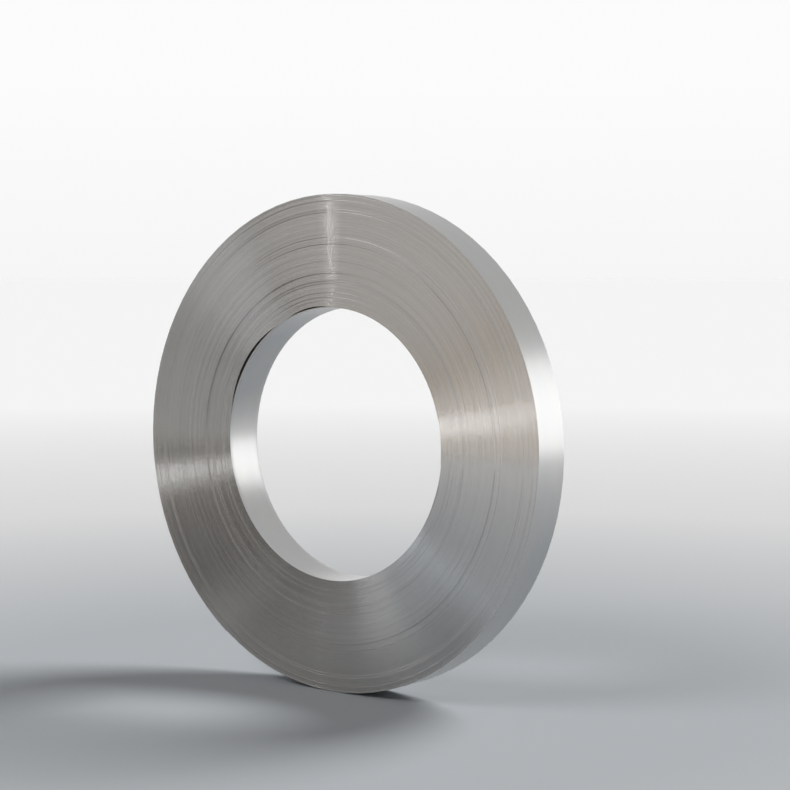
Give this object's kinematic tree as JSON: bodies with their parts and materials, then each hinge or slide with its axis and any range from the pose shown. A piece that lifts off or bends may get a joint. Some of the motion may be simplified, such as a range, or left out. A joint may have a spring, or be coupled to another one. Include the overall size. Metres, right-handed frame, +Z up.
{
  "type": "slit coil of stainless steel strip",
  "caption": "Flat ring-shaped coil of narrow stainless steel strip, wound in many turns round an open bore and standing on its rim; stock for tube mills and presses.",
  "frame": {"origin": "on the floor, under the middle of the coil", "axes": "+Z up, Y along the coil's axis with the front end at -Y, X across the coil"},
  "size_m": [0.9268, 0.08, 0.9259],
  "materials": {
    "stainless": "satin, fine slit edges in concentric lines on the ends"
  },
  "bodies": {
    "root": {"strip_coil": "stainless"}
  },
  "joints": []
}
